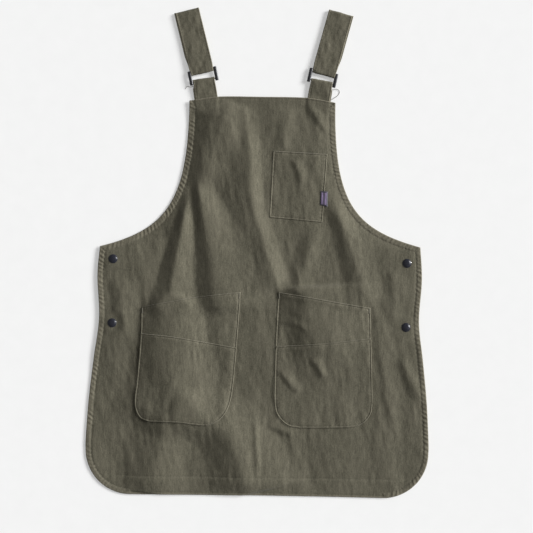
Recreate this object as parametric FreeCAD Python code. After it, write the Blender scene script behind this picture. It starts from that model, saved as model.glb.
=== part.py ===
import FreeCAD, Part
import math
import os

# A canvas bib apron laid flat, front up.  Millimetres, +X to the right, +Y toward the
# shoulder straps, +Z up.  The origin is at the middle of the base of its box.

V = FreeCAD.Vector
UP = V(0, 0, 1)

# ---- overall sizes ----
length = 804.0                 # bottom hem to the top fold of the straps
skirt_width = 565.4            # widest place, low on the skirt
waist_width = 528.0            # across the two armhole corners
bib_width = 240.6              # across the bib, just below its top corners
strap_drop = 146.0             # top fold of the straps down to the bib's top edge
bib_depth = 247.0              # bib's top edge down to the armhole corners
bib_corner_drop = 8.0          # the top edge bows up between its corners
skirt_flare_end = 320.0        # armhole corner down to where the skirt is widest
skirt_corner_radius = 74.0

# ---- cloth ----
canvas = 1.0                   # one layer of canvas, laid loosely
facing = 0.9                   # turned hems and facings behind the panel
layer_gap = 0.1                # air between two layers that are sewn together
side_hem = 8.5
bottom_hem = 30.0
armhole_facing_width = 9.5
bib_facing_depth = 32.0
armhole_top_handle = 168.0     # how long the armhole stays straight below the bib's corner
armhole_side_handle = 112.0    # how long it stays nearly level at the waist
armhole_side_angle = 14.8

# ---- back band, which the side snaps hold ----
band_height = 145.0
band_overhang = 4.0            # above the armhole corners
band_inset = 6.0               # short of the panel's sides
band_level = 0.8               # underside of the band, on the post flanges

# ---- drape of the front over the back ----
front_level = 4.9              # underside of the front's hems where they lie over the band
ramp_start = 90.0              # below the band, where the skirt reaches the table
ramp_end = 5.0

# ---- snaps ----
snap_inset = 22.0              # snap centres in from the armhole corners
snap_first = 23.5              # below the armhole corner
snap_pitch = 105.5
cap_diameter = 15.0
cap_dome = 2.2
socket_diameter = 12.0
socket_depth = 2.2
socket_bore = 6.4
socket_bore_depth = 1.4
snap_end_gap = 0.3             # above the stud, inside its socket
shank_diameter = 3.6
stud_base_diameter = 11.0
stud_base = 0.6
stud_diameter = 6.1
post_flange_diameter = 13.0
rivet_clearance = 0.15

# ---- straps, tabs and sliders ----
strap_width = 40.0
strap_cloth = 0.9
strap_lean = 14.6
strap_rear_lean = 13.8
strap_rear_run = 72.0          # how far the strap is turned down behind itself at the top
strap_top_x = 126.8            # middle of each top fold, from the centre line
fold_gap = 0.4                 # between the rear run and the front run at the fold
slider_lean = 12.4
slider_x = 98.4
slider_above_bib = 33.0        # slider's centre above the bib's top edge
slider_height = 23.0
slider_side_bar = 3.4
slider_thickness = 2.0
slider_play = 0.3              # beside the strap, on each side
lower_bar_start = 2.5          # above the slider's lower end
lower_bar = 3.0
middle_bar_start = 16.4
middle_bar = 2.4
upper_bar = 2.2
slider_edge_radius = 0.7
webbing = 0.8                  # cloth thickness where it wraps a bar
wrap_clearance = 0.2
tab_width = 37.0
tab_lean = 9.6
tab_slack = 0.5                # room for the slider to rock inside the tab's loop
tab_loop_top = 8.5             # top of the tab's loop above the slider's lower end
tab_under_bib = 30.0
strap_tail = 60.0
strap_joint_gap = 1.6          # between the strap's loop and its front run

# ---- pockets and label ----
hip_pocket_inner_x = 32.0
hip_pocket_width = 158.0
hip_mouth_inner_drop = 75.0    # below the armhole corners
hip_mouth_outer_drop = 99.0
hip_front_inner_drop = 165.0
hip_front_outer_drop = 146.0
hip_pocket_bottom_drop = 294.0
hip_pocket_corner = 26.0
chest_left_x = 15.0
chest_right_x = 104.0
chest_top_drop = 90.0          # below the bib's top edge
chest_height = 110.0
chest_taper = 5.0              # the pocket's top corner stands further out than its bottom
label_width = 12.5
label_height = 24.0
label_drop = 64.0              # below the chest pocket's mouth
label_cloth = 0.5

# ---- loose sewing thread beside the right tab ----
thread_diameter = 0.9
thread_route = [V(114.6, 269.6, 3.7), V(122.1, 271.9, 2.2), V(126.8, 268.8, 0.9),
                V(126.7, 263.5, 0.6), V(121.2, 257.7, 1.8), V(112.6, 252.4, 3.9)]

# ---- places that follow from the sizes ----
top_y = length / 2
bottom_y = -length / 2
bib_top_y = top_y - strap_drop
waist_y = bib_top_y - bib_depth
flare_y = waist_y - skirt_flare_end
band_top_y = waist_y - band_overhang
band_bottom_y = band_top_y - band_height
panel_lift = facing + layer_gap
pocket_lift = panel_lift + canvas + layer_gap
overlay_lift = pocket_lift + canvas + layer_gap
panel_top = front_level + panel_lift + canvas
rear_level = band_level + canvas + layer_gap
rear_top = rear_level + strap_cloth
loop_low = rear_top + 0.3
slider_mid = loop_low + webbing + wrap_clearance + tab_slack + slider_thickness / 2
tab_hollow = slider_thickness / 2 + wrap_clearance + tab_slack
strap_hollow = slider_thickness / 2 + wrap_clearance
ground_y = band_bottom_y - ramp_start
lifted_y = band_bottom_y - ramp_end
snap_x = waist_width / 2 - snap_inset
socket_low = front_level - layer_gap - socket_depth
stud_low = band_level + canvas
stud_top = socket_low + socket_bore_depth - snap_end_gap


def outline(edges):
    """A flat face from edges that follow each other."""
    return Part.Face(Part.Wire(edges))


def polygon(points):
    closed = list(points) + [points[0]]
    return Part.Face(Part.makePolygon(closed))


def line(a, b):
    return Part.LineSegment(a, b).toShape()


def arc(a, middle, b):
    return Part.Arc(a, middle, b).toShape()


def bezier(poles):
    curve = Part.BezierCurve()
    curve.setPoles(poles)
    return curve.toShape()


def mirrored(shape):
    return shape.mirror(V(0, 0, 0), V(1, 0, 0))


def drape(face, lift, thickness):
    """A layer of the front: the flat face's outline, following the ramp over the band."""
    reach = length
    profile = [(-reach, 0.0), (ground_y, 0.0), (lifted_y, front_level), (reach, front_level)]
    low = [V(-reach, y, z + lift) for y, z in profile]
    high = [V(-reach, y, z + lift + thickness) for y, z in reversed(profile)]
    sheet = polygon(low + high).extrude(V(2 * reach, 0, 0))
    prism = face.copy()
    prism.translate(V(0, 0, -1))
    return sheet.common(prism.extrude(V(0, 0, 30))).Solids[0]


def along(origin, lean, profile, width):
    """A profile of (distance up the strap, height) pairs, made a slab of the given width."""
    points = [V(0, v, z) for v, z in profile]
    slab = polygon(points).extrude(V(width, 0, 0))
    slab.translate(V(-width / 2, 0, 0))
    slab.rotate(V(0, 0, 0), UP, -lean)
    slab.translate(origin)
    return slab


def up_from(origin, lean, distance):
    angle = math.radians(lean)
    return origin + V(math.sin(angle) * distance, math.cos(angle) * distance, 0)


def disc(x, y, z, diameter, height):
    return Part.makeCylinder(diameter / 2, height, V(x, y, z))


# ---- outlines ----
def armhole_poles(inward):
    """Poles of the right armhole's edge, or of a line that runs inward from it."""
    angle = math.radians(armhole_side_angle)
    top = V(bib_width / 2 - inward, bib_top_y - bib_corner_drop, 0)
    side = V(waist_width / 2 - inward * math.sin(angle), waist_y - inward * math.cos(angle), 0)
    shorter = 1 - inward / armhole_side_handle / 2
    below = V(top.x, top.y - armhole_top_handle, 0)
    beside = side + V(-math.cos(angle), math.sin(angle), 0) * armhole_side_handle * shorter
    return [top, below, beside, side]


def bib_top_edge():
    corner_y = bib_top_y - bib_corner_drop
    return arc(V(-bib_width / 2, corner_y, 0), V(0, bib_top_y, 0), V(bib_width / 2, corner_y, 0))


def skirt_edges():
    """The panel's right side and bottom corner."""
    radius = skirt_corner_radius
    x = skirt_width / 2
    low = bottom_y
    centre = V(x - radius, low + radius, 0)
    turn = centre + V(math.cos(-math.pi / 4), math.sin(-math.pi / 4), 0) * radius
    waist = V(waist_width / 2, waist_y, 0)
    flare = V(x, flare_y, 0)
    tangent = V(x, centre.y, 0)
    return [line(waist, flare), line(flare, tangent),
            arc(tangent, turn, V(centre.x, low, 0))]


def panel_face():
    right = [bezier(armhole_poles(0))] + skirt_edges()
    left = [mirrored(edge) for edge in right]
    foot = line(V(-skirt_width / 2 + skirt_corner_radius, bottom_y, 0),
                V(skirt_width / 2 - skirt_corner_radius, bottom_y, 0))
    return Part.Face(Part.Wire(Part.sortEdges([bib_top_edge(), foot] + right + left)[0]))


def inside_of_hems():
    """The area that the turned hems leave free, rounded at its lower corners."""
    x = skirt_width / 2 - side_hem
    low = bottom_y + bottom_hem
    centre = V(skirt_width / 2 - skirt_corner_radius, bottom_y + skirt_corner_radius, 0)
    share = math.sqrt(0.5)
    turn = centre + V((x - centre.x) * share, (low - centre.y) * share, 0)
    high = V(waist_width / 2 - side_hem, length, 0)
    waist = V(high.x, waist_y, 0)
    flare = V(x, flare_y, 0)
    side = V(x, centre.y, 0)
    foot = V(centre.x, low, 0)
    right = [line(high, waist), line(waist, flare), line(flare, side), arc(side, turn, foot)]
    left = [mirrored(edge) for edge in right]
    across = [line(V(-high.x, length, 0), high), line(V(-foot.x, low, 0), foot)]
    return Part.Face(Part.Wire(Part.sortEdges(right + left + across)[0]))


def rounded_box(x0, x1, top_left, top_right, bottom, radius):
    """A patch with a sloping top edge and two rounded bottom corners."""
    k = radius * (1 - math.sqrt(0.5))
    return outline([
        line(V(x0, top_left, 0), V(x1, top_right, 0)),
        line(V(x1, top_right, 0), V(x1, bottom + radius, 0)),
        arc(V(x1, bottom + radius, 0), V(x1 - k, bottom + k, 0), V(x1 - radius, bottom, 0)),
        line(V(x1 - radius, bottom, 0), V(x0 + radius, bottom, 0)),
        arc(V(x0 + radius, bottom, 0), V(x0 + k, bottom + k, 0), V(x0, bottom + radius, 0)),
        line(V(x0, bottom + radius, 0), V(x0, top_left, 0))])


# ---- the front ----
snap_places = {"upper": waist_y - snap_first, "lower": waist_y - snap_first - snap_pitch}


def snap_holes(solid):
    for y in snap_places.values():
        for x in (snap_x, -snap_x):
            hole = disc(x, y, -1, shank_diameter + 2 * rivet_clearance, 30)
            solid = solid.cut(hole)
    return solid


def apron_panel():
    """The canvas panel with its side and bottom hems turned behind it."""
    face = panel_face()
    cloth = drape(face, panel_lift - layer_gap, canvas + layer_gap)
    start = waist_y - armhole_facing_width - 1
    skirt = polygon([V(-length, start, 0), V(length, start, 0),
                     V(length, -length, 0), V(-length, -length, 0)])
    turned = drape(face.common(skirt).cut(inside_of_hems()).Faces[0], 0, facing)
    return snap_holes(cloth.fuse(turned).removeSplitter())


def armhole_facing():
    outer = bezier(armhole_poles(0.4))
    inner_poles = armhole_poles(armhole_facing_width)
    inner = bezier(inner_poles)
    outer_poles = armhole_poles(0.4)
    ends = [line(inner_poles[0], outer_poles[0]), line(outer_poles[-1], inner_poles[-1])]
    return drape(outline([inner, ends[0], outer, ends[1]]), 0, facing - layer_gap)


def bib_facing():
    side = bib_width / 2 - armhole_facing_width - 1
    low = bib_top_y - bib_facing_depth
    corner = bib_top_y - bib_corner_drop - 0.5
    strip = outline([arc(V(-side, corner, 0), V(0, bib_top_y - 0.5, 0), V(side, corner, 0)),
                     line(V(side, corner, 0), V(side, low, 0)),
                     line(V(side, low, 0), V(-side, low, 0)),
                     line(V(-side, low, 0), V(-side, corner, 0))])
    return drape(strip, 0, facing - layer_gap)


def hip_pocket_back():
    right = hip_pocket_inner_x + hip_pocket_width
    face = rounded_box(hip_pocket_inner_x, right, waist_y - hip_mouth_inner_drop,
                       waist_y - hip_mouth_outer_drop, waist_y - hip_pocket_bottom_drop,
                       hip_pocket_corner)
    return drape(face, pocket_lift, canvas)


def hip_pocket_front():
    right = hip_pocket_inner_x + hip_pocket_width
    face = rounded_box(hip_pocket_inner_x, right, waist_y - hip_front_inner_drop,
                       waist_y - hip_front_outer_drop, waist_y - hip_pocket_bottom_drop,
                       hip_pocket_corner)
    return drape(face, overlay_lift, canvas)


def chest_pocket():
    top = bib_top_y - chest_top_drop
    low = top - chest_height
    face = polygon([V(chest_left_x, low, 0), V(chest_left_x + 1, top, 0),
                    V(chest_right_x + chest_taper, top, 0), V(chest_right_x, low, 0)])
    return drape(face, pocket_lift, canvas)


def woven_label():
    """A small folded label, caught in the chest pocket's right seam."""
    top = bib_top_y - chest_top_drop - label_drop
    right = chest_right_x + chest_taper * 0.5
    face = polygon([V(right - label_width, top - label_height, 0), V(right - label_width, top, 0),
                    V(right, top, 0), V(right, top - label_height, 0)])
    return drape(face, overlay_lift, label_cloth)


def snap_cap(x, y):
    """Domed cap with its shank through the panel."""
    sphere_radius = ((cap_diameter / 2) ** 2 + cap_dome ** 2) / (2 * cap_dome)
    dome = Part.makeSphere(sphere_radius, V(x, y, panel_top + cap_dome - sphere_radius))
    dome = dome.common(disc(x, y, panel_top, cap_diameter, cap_dome + 1))
    shank_low = socket_low + socket_bore_depth + 0.1
    shank = disc(x, y, shank_low, shank_diameter, panel_top - shank_low + 0.2)
    return dome.fuse(shank).removeSplitter()


def snap_socket(x, y):
    """The ring under the panel that the stud presses into."""
    ring = disc(x, y, socket_low, socket_diameter, socket_depth)
    ring = ring.cut(disc(x, y, socket_low - 1, socket_bore, 1 + socket_bore_depth))
    return ring.cut(disc(x, y, socket_low, shank_diameter + 2 * rivet_clearance, socket_depth + 1))


# ---- tab, slider and strap, made on the right ----
slider_centre = V(slider_x, bib_top_y + slider_above_bib, 0)
slider_foot = up_from(slider_centre, slider_lean, -slider_height / 2)
fold_middle = V(strap_top_x, top_y - math.sin(math.radians(strap_lean)) * strap_width / 2, 0)
strap_start_y = up_from(slider_foot, slider_lean, slider_height + 1).y
front_run = (fold_middle.y - strap_start_y) / math.cos(math.radians(strap_lean))


def tab():
    """Doubled cloth that wraps the slider's lower bar and is sewn behind the bib."""
    tab_foot = up_from(slider_centre, tab_lean, -slider_height / 2)
    end = -slider_above_bib + slider_height / 2 - tab_under_bib
    bib_edge = end + tab_under_bib + 1.5
    low = slider_mid - tab_hollow - webbing
    high = slider_mid + tab_hollow + webbing
    under = front_level - layer_gap
    body = along(tab_foot, tab_lean, [(end, low), (tab_loop_top, low), (tab_loop_top, high),
                                      (0, high), (bib_edge - 4, under), (end, under)], tab_width)
    inside = along(tab_foot, tab_lean, [(-0.5, low + webbing), (tab_loop_top - webbing, low + webbing),
                                        (tab_loop_top - webbing, high - webbing),
                                        (-0.5, high - webbing)], tab_width + 2)
    return body.cut(inside)


def slider():
    """Three-bar slider: a rounded frame with the middle bar close under the upper one."""
    wide = strap_width + 2 * slider_play + 2 * slider_side_bar
    inner = strap_width + 2 * slider_play
    low = slider_mid - slider_thickness / 2
    frame = Part.makeBox(wide, slider_height, slider_thickness, V(-wide / 2, 0, low))
    upright = [edge for edge in frame.Edges if abs(edge.tangentAt(edge.FirstParameter).z) > 0.9]
    frame = frame.makeFillet(slider_side_bar * 0.8, upright)
    windows = [(lower_bar_start + lower_bar, middle_bar_start),
               (middle_bar_start + middle_bar, slider_height - upper_bar)]
    for start, stop in windows:
        frame = frame.cut(Part.makeBox(inner, stop - start, 10, V(-inner / 2, start, low - 4)))
    frame = frame.cut(Part.makeBox(inner, lower_bar_start + 5, 10, V(-inner / 2, -5, low - 4)))
    frame.rotate(V(0, 0, 0), UP, -slider_lean)
    frame.translate(slider_foot)
    return frame


def strap_loop():
    """The strap's end where it wraps the middle bar."""
    low = slider_mid - strap_hollow - webbing
    high = slider_mid + strap_hollow + webbing
    foot = middle_bar_start - wrap_clearance - webbing
    end = slider_height + 1
    body = along(slider_foot, slider_lean, [(foot, low), (end, low), (end, high), (foot, high)],
                 strap_width)
    gap = along(slider_foot, slider_lean, [(foot + webbing, low + webbing), (end + 1, low + webbing),
                                           (end + 1, high - webbing), (foot + webbing, high - webbing)],
                strap_width + 2)
    return body.cut(gap)


def strap_front():
    """The strap's front run, from its top fold down to the slider."""
    start = up_from(fold_middle, strap_lean, -front_run + strap_joint_gap)
    reach = front_run - strap_joint_gap
    foot = slider_mid + strap_hollow
    fold = rear_top + fold_gap
    return along(start, strap_lean, [(0, foot), (reach, fold), (reach, fold + webbing),
                                     (0, foot + webbing)], strap_width)


def strap_tail_run():
    """The strap's sewn end, doubled back behind the front run."""
    start = up_from(fold_middle, strap_lean, -front_run + strap_joint_gap)
    low = slider_mid - strap_hollow - webbing
    return along(start, strap_lean, [(0, low), (strap_tail, rear_top + 0.1),
                                     (strap_tail, rear_top + 0.1 + webbing), (0, low + webbing)],
                 strap_width - 1)


def strap_rear():
    """The strap's rear run, turned down behind the front run from the top fold."""
    run = strap_rear_run
    start = up_from(fold_middle, strap_rear_lean, -run)
    return along(start, strap_rear_lean, [(0, rear_level), (run, rear_level), (run, rear_top),
                                          (0, rear_top)], strap_width)


# ---- the back ----
def back_band():
    half = waist_width / 2 - band_inset
    band = Part.makeBox(2 * half, band_height, canvas, V(-half, band_bottom_y, band_level))
    upright = [edge for edge in band.Edges if abs(edge.tangentAt(edge.FirstParameter).z) > 0.9]
    return snap_holes(band.makeFillet(12.0, upright))


def snap_stud(x, y):
    """The stud on the band, hollow for the post's shank."""
    ball_low = stud_low + stud_base
    base = disc(x, y, stud_low, stud_base_diameter, stud_base)
    ball = disc(x, y, ball_low, stud_diameter, stud_top - ball_low)
    rim = [edge for edge in ball.Edges if edge.BoundBox.ZMin > stud_top - 0.01]
    ball = ball.makeFillet(min(0.5, (stud_top - ball_low) / 2), rim)
    bore = disc(x, y, stud_low - 1, shank_diameter + 2 * rivet_clearance, 1 + stud_base + 0.5)
    return base.fuse(ball).cut(bore)


def snap_post(x, y):
    """The flange behind the band and its shank, which the stud is set on."""
    flange = disc(x, y, 0, post_flange_diameter, band_level)
    return flange.fuse(disc(x, y, 0, shank_diameter, stud_low + stud_base + 0.4))


def cord_tube(route, diameter):
    """A round tube along straight runs joined by tangent arcs."""
    edges = []
    here = route[0]
    for i in range(1, len(route) - 1):
        corner = route[i]
        back = (route[i - 1] - corner)
        ahead = (route[i + 1] - corner)
        shorter = min(back.Length, ahead.Length)
        back.normalize()
        ahead.normalize()
        turn = math.pi - back.getAngle(ahead)
        trim = 0.45 * shorter
        radius = trim / math.tan(turn / 2)
        print("thread bend %d: radius %.1f mm, turn %.0f degrees" % (i, radius, math.degrees(turn)))
        first = corner + back * trim
        last = corner + ahead * trim
        bisector = back + ahead
        bisector.normalize()
        centre = corner + bisector * (radius / math.cos(turn / 2))
        middle = centre - bisector * radius
        edges.append(line(here, first))
        edges.append(arc(first, middle, last))
        here = last
    edges.append(line(here, route[-1]))
    path = Part.Wire(edges)
    circle = Part.Wire(Part.makeCircle(diameter / 2, route[0], route[1] - route[0]))
    tube = path.makePipeShell([circle], True, True)
    section = math.pi * diameter ** 2 / 4
    print("thread length %.1f mm, volume against section x length %.3f"
          % (path.Length, tube.Volume / (section * path.Length)))
    return tube


# ---- build and write ----
nodes = {"apron_panel": apron_panel(), "bib_facing": bib_facing(),
         "chest_pocket": chest_pocket(), "woven_label": woven_label(), "back_band": back_band(),
         "loose_thread": cord_tube(thread_route, thread_diameter)}

paired = {"armhole_facing": armhole_facing(), "hip_pocket_back": hip_pocket_back(),
          "hip_pocket_front": hip_pocket_front(), "tab": tab(), "slider": slider(),
          "strap_loop": strap_loop(), "strap_front": strap_front(),
          "strap_tail": strap_tail_run(), "strap_rear": strap_rear()}
for name, shape in paired.items():
    nodes[name + "_right"] = shape
    nodes[name + "_left"] = mirrored(shape)

makers = {"snap_cap": snap_cap, "snap_socket": snap_socket, "snap_stud": snap_stud,
          "snap_post": snap_post}
for name, make in makers.items():
    for row, y in snap_places.items():
        nodes["%s_%s_right" % (name, row)] = make(snap_x, y)
        nodes["%s_%s_left" % (name, row)] = make(-snap_x, y)

os.makedirs("parts", exist_ok=True)
for name, shape in nodes.items():
    if not shape.isValid() or shape.Volume <= 0:
        print("check", name, shape.isValid(), shape.Volume)
    shape.exportStep("parts/" + name + ".step")

box = Part.makeCompound(list(nodes.values())).BoundBox
print("nodes", len(nodes))
print("box x %.2f %.2f  y %.2f %.2f  z %.2f %.2f"
      % (box.XMin, box.XMax, box.YMin, box.YMax, box.ZMin, box.ZMax))
print("slider axis (%.3f, %.3f, %.3f)" % tuple(up_from(slider_foot, slider_lean,
      lower_bar_start + lower_bar / 2) + V(0, 0, slider_mid)))
print("fold height %.3f, snap x %.2f, rows %s" % (rear_top + fold_gap / 2, snap_x, snap_places))
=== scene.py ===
# %% [markdown]
# # A canvas bib apron, laid flat
# The apron lies front up on a pale table: one canvas panel, patch pockets, two shoulder straps
# with sliders, and four snaps that hold a back band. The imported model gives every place, and
# this script gives the cloth its folds, hems, stitches and weave. Lengths in the script are in
# millimetres, because that is how a maker cuts cloth, and a mesh is scaled to metres once.

# %% Load the frame
import math
import bpy
import numpy as np
from mathutils import Matrix, Vector
from mathutils.geometry import delaunay_2d_cdt
from mathutils.kdtree import KDTree


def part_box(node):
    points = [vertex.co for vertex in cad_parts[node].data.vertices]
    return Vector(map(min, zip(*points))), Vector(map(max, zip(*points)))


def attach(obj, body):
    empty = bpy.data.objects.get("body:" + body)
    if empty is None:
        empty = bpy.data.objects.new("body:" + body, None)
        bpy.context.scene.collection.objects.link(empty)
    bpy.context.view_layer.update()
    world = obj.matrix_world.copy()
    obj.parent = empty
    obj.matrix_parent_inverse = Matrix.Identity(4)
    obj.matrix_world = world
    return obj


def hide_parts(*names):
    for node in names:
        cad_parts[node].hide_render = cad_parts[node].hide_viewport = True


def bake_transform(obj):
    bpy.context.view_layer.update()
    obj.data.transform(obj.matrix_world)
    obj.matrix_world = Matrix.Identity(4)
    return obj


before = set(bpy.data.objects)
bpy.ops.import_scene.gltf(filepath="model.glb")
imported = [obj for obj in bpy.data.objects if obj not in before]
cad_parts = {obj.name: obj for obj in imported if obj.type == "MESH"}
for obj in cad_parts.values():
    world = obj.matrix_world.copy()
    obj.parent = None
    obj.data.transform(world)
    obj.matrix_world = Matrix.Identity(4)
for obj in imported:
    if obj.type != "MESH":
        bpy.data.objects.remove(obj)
bpy.context.view_layer.update()
MM = 0.001
bpy.ops.object.select_all(action="DESELECT")


# %% [markdown]
# ## Camera
# The apron is seen from straight above. A long lens from over two metres up keeps the edges of
# the cloth square to the view. The camera is turned a little, because the apron doesn't lie
# quite square to it.

# %% Camera
VIEW_WIDTH = 0.880
CAMERA_HEIGHT = 2.6
CAMERA_PLACE = (0.0109, -0.0233)
CAMERA_ROLL = 0.9

lens = bpy.data.cameras.new("overhead")
lens.lens = lens.sensor_width * CAMERA_HEIGHT / VIEW_WIDTH
camera = bpy.data.objects.new("overhead", lens)
bpy.context.collection.objects.link(camera)
camera.location = (*CAMERA_PLACE, CAMERA_HEIGHT)
camera.rotation_euler = (0, 0, math.radians(CAMERA_ROLL))
bpy.context.scene.camera = camera
print("lens %.0f mm" % lens.lens)


# %% [markdown]
# ## The loose thread
# A loop of grey sewing thread stands out beside the right tab. It is a limp cord, so it is one
# smooth curve through a few listed points: out of the tab's edge, round on the table
# and back in where the tab meets the bib.

# %% Thread loop
THREAD_DIAMETER = 0.9
THREAD_ROUTE = [(114.6, 269.6, 3.7), (122.1, 271.9, 2.2), (126.8, 268.8, 0.9),
                (126.7, 263.5, 0.6), (121.2, 257.7, 1.8), (112.6, 252.4, 3.9)]


def thread_curve(name, route, diameter):
    curve = bpy.data.curves.new(name, "CURVE")
    curve.dimensions = "3D"
    curve.bevel_depth = 1.0
    curve.bevel_resolution = 3
    curve.resolution_u = 12
    curve.use_fill_caps = True
    spline = curve.splines.new("NURBS")
    spline.points.add(len(route) - 1)
    for point, place in zip(spline.points, route):
        point.co = (place[0] * MM, place[1] * MM, place[2] * MM, 1)
        point.radius = diameter * MM / 2
    spline.order_u = 3
    spline.use_endpoint_u = True
    piece = bpy.data.objects.new(name, curve)
    bpy.context.collection.objects.link(piece)
    return piece, spline.calc_length()


thread_loop, thread_length = thread_curve("thread_loop", THREAD_ROUTE, THREAD_DIAMETER)
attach(thread_loop, "front")
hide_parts("loose_thread")
print("thread %.1f mm" % (thread_length / MM))


# %% [markdown]
# ## Outlines
# A pattern cutter draws each piece of cloth as a closed line of straight and curved stretches.
# Here each stretch is a short list of points with a smooth curve through them, and `walk` puts
# evenly spaced points on it. The corners stay sharp, because each stretch keeps its own ends.

# %% Outline helpers
def smooth(points, fineness=12):
    """A smooth curve through a few points."""
    p = np.array(points, float)
    if len(p) == 2:
        return p
    padded = np.vstack([2 * p[0] - p[1], p, 2 * p[-1] - p[-2]])
    t = np.linspace(0, 1, fineness, endpoint=False)[:, None]
    out = []
    for a, b, c, d in zip(padded, padded[1:], padded[2:], padded[3:]):
        out.append(0.5 * (2 * b + (c - a) * t + (2 * a - 5 * b + 4 * c - d) * t ** 2
                          + (3 * b - a - 3 * c + d) * t ** 3))
    return np.vstack(out + [p[-1:]])


def bezier(a, b, c, d, count=60):
    t = np.linspace(0, 1, count)[:, None]
    a, b, c, d = (np.array(p, float) for p in (a, b, c, d))
    return (1 - t) ** 3 * a + 3 * t * (1 - t) ** 2 * b + 3 * t * t * (1 - t) * c + t ** 3 * d


def arc(centre, radius, start, stop, count=24):
    angle = np.radians(np.linspace(start, stop, count))
    return np.array(centre) + radius * np.stack([np.cos(angle), np.sin(angle)], 1)


def walk(curve, step):
    """Evenly spaced points on a curve, both ends kept."""
    curve = np.array(curve, float)
    run = np.concatenate([[0], np.cumsum(np.hypot(*np.diff(curve, axis=0).T))])
    count = max(2, int(round(run[-1] / step)) + 1)
    at = np.linspace(0, run[-1], count)
    return np.stack([np.interp(at, run, curve[:, 0]), np.interp(at, run, curve[:, 1])], 1)


def mirror(curve):
    """The same stretch on the other side, walked the other way."""
    return (np.array(curve, float) * (-1, 1))[::-1]


class Outline:
    """A closed line of stretches, walked clockwise, that can measure how far in a point is."""

    def __init__(self, stretches, step=0.5):
        self.stretches = [np.array(s, float) for s in stretches]
        points, part = [], []
        for number, stretch in enumerate(self.stretches):
            walked = walk(stretch, step)[:-1]
            points.append(walked)
            part += [number] * len(walked)
        self.points = np.vstack(points)
        self.part = np.array(part)
        ahead = np.roll(self.points, -1, 0) - self.points
        length = np.hypot(*ahead.T)
        self.along = np.concatenate([[0], np.cumsum(length)[:-1]])
        tangent = np.roll(self.points, -1, 0) - np.roll(self.points, 1, 0)
        tangent /= np.hypot(*tangent.T)[:, None]
        self.inward = np.stack([tangent[:, 1], -tangent[:, 0]], 1)
        self.tree = KDTree(len(self.points))
        for number, (x, y) in enumerate(self.points):
            self.tree.insert((x, y, 0), number)
        self.tree.balance()

    def measure(self, x, y):
        """Distance in from the edge, distance along it, and which stretch is nearest."""
        near = np.array([self.tree.find((a, b, 0))[1] for a, b in zip(x, y)])
        away = np.stack([x, y], 1) - self.points[near]
        sign = np.sign(np.sum(away * self.inward[near], 1) + 1e-9)
        return np.hypot(*away.T) * sign, self.along[near], self.part[near]

    def border(self, step):
        return np.vstack([walk(stretch, step)[:-1] for stretch in self.stretches])


# %% [markdown]
# ## The panel's outline
# The bib's top edge bows up between the tabs, the armholes swing out to the waist, and the skirt
# flares down to round corners. The main sizes are read from the imported panel's box, so the cloth
# follows if the model changes. The small pinch at the lower snap is drawn from listed points.

# %% Panel outline
panel_low, panel_high = (Vector(c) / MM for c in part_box("apron_panel"))
HALF_SKIRT = panel_high.x
HEM_Y = panel_low.y
BIB_Y = panel_high.y
HALF_BIB = 120.3
HALF_WAIST = 264.0
WAIST_Y = BIB_Y - 247.0
CORNER_RADIUS = 74.0
BIB_CORNER_Y = BIB_Y - 8.0
WAIST_TILT = 3


def armhole(side_x, side_y):
    """From the bib's corner down and out to the waist."""
    angle = math.radians(14.8)
    side = np.array([side_x, side_y])
    beside = side + 112.0 * np.array([-math.cos(angle), math.sin(angle)])
    top = (HALF_BIB, BIB_CORNER_Y)
    return bezier(top, (HALF_BIB, BIB_CORNER_Y - 168.0), beside, side)


def skirt_side(waist_y):
    """From the waist down to the round corner, pinched at the lower snap."""
    low = HEM_Y + CORNER_RADIUS
    return smooth([(HALF_WAIST, waist_y), (267.3, WAIST_Y - 52), (263.6, WAIST_Y - 121),
                   (271.5, WAIST_Y - 187), (278.6, WAIST_Y - 253), (HALF_SKIRT, WAIST_Y - 320),
                   (HALF_SKIRT, low)])


corner_centre = (HALF_SKIRT - CORNER_RADIUS, HEM_Y + CORNER_RADIUS)
corner = arc(corner_centre, CORNER_RADIUS, 0, -90)
bib_top = smooth([(-HALF_BIB, BIB_CORNER_Y), (-110, BIB_Y - 6.4), (-70, BIB_Y - 0.6), (0, BIB_Y),
                  (70, BIB_Y - 0.3), (108, BIB_Y - 5.6), (HALF_BIB, BIB_CORNER_Y)])
right_armhole = armhole(HALF_WAIST, WAIST_Y + WAIST_TILT)
left_armhole = mirror(armhole(HALF_WAIST, WAIST_Y - WAIST_TILT))
foot = smooth([(corner_centre[0], HEM_Y), (120, HEM_Y + 0.8), (0, HEM_Y + 1.2),
               (-120, HEM_Y + 0.4), (-corner_centre[0], HEM_Y)])
PANEL_PARTS = ["top", "armhole", "side", "corner", "foot", "corner", "side", "armhole"]
panel_outline = Outline([bib_top, right_armhole, skirt_side(WAIST_Y + WAIST_TILT), corner, foot,
                         mirror(corner), mirror(skirt_side(WAIST_Y - WAIST_TILT)), left_armhole])
print("edge of the panel %.0f mm" % panel_outline.along[-1])


# %% [markdown]
# ## How the cloth lies
# The cloth's height is built up as a person would see it. First comes the easy slope from the
# table up over the back band. Then come the folds: each is a crest line with a gentle side and
# a steep side. Last comes the crumple of washed cloth, long waves that mostly run down the
# apron. A physical drape would fall in its own folds, so drawing the crests is the way to put
# them where they belong.

# %% Height of the cloth
TOP_LIFTED = panel_high.z
TOP_ON_TABLE = 3.4
band_low, band_high = (Vector(c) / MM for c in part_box("back_band"))
RAMP_FOOT = band_low.y - 90
RAMP_HEAD = band_low.y - 5


def fold(path, height, shaded, lit, widen=(1.0, 1.0), fade=(0.22, 0.22)):
    """A crest line with the widths of its two sides, how they widen, and how its ends fade."""
    return smooth(path, 6), height, shaded, lit, widen, fade


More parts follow.
